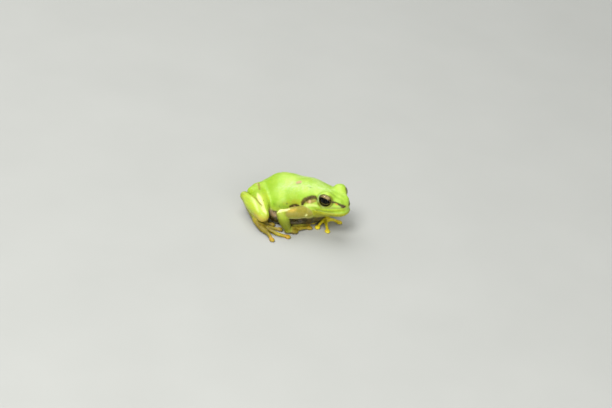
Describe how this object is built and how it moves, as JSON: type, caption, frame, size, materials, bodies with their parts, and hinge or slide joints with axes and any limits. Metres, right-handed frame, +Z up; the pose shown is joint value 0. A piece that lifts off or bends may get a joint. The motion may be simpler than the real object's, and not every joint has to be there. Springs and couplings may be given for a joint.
{
  "type": "tree frog model",
  "caption": "Life-size model of a small green tree frog sitting at rest, head up, hind legs folded, with a brown mark behind the eye and tan toe pads.",
  "frame": {"origin": "on the floor, under the middle of the model's bounding box", "axes": "+X towards the snout, +Y to the frog's left across the splayed limbs, +Z up"},
  "size_m": [0.0288, 0.0328, 0.0129],
  "materials": {
    "leaf_green_skin": "moist skin, bright yellow-green above with pale gloss and small dark dots, purplish brown on the flank, cream below",
    "limb_skin": "moist yellow-green skin with a cream stripe along the top of thigh and shank",
    "toe_skin": "thin orange-tan skin with darker specks and redder pads",
    "eye": "wet clear cornea over a gold and bronze iris with an oval black pupil"
  },
  "bodies": {
    "root": {"head": "leaf_green_skin", "trunk": "leaf_green_skin", "eye_right": "eye", "eye_left": "eye", "upper_arm_right": "limb_skin", "forearm_right": "limb_skin", "hand_right": "toe_skin", "thigh_right": "limb_skin", "shank_right": "limb_skin", "tarsus_right": "limb_skin", "foot_right": "toe_skin", "upper_arm_left": "limb_skin", "forearm_left": "limb_skin", "hand_left": "toe_skin", "thigh_left": "limb_skin", "shank_left": "limb_skin", "tarsus_left": "limb_skin", "foot_left": "toe_skin"}
  },
  "joints": []
}
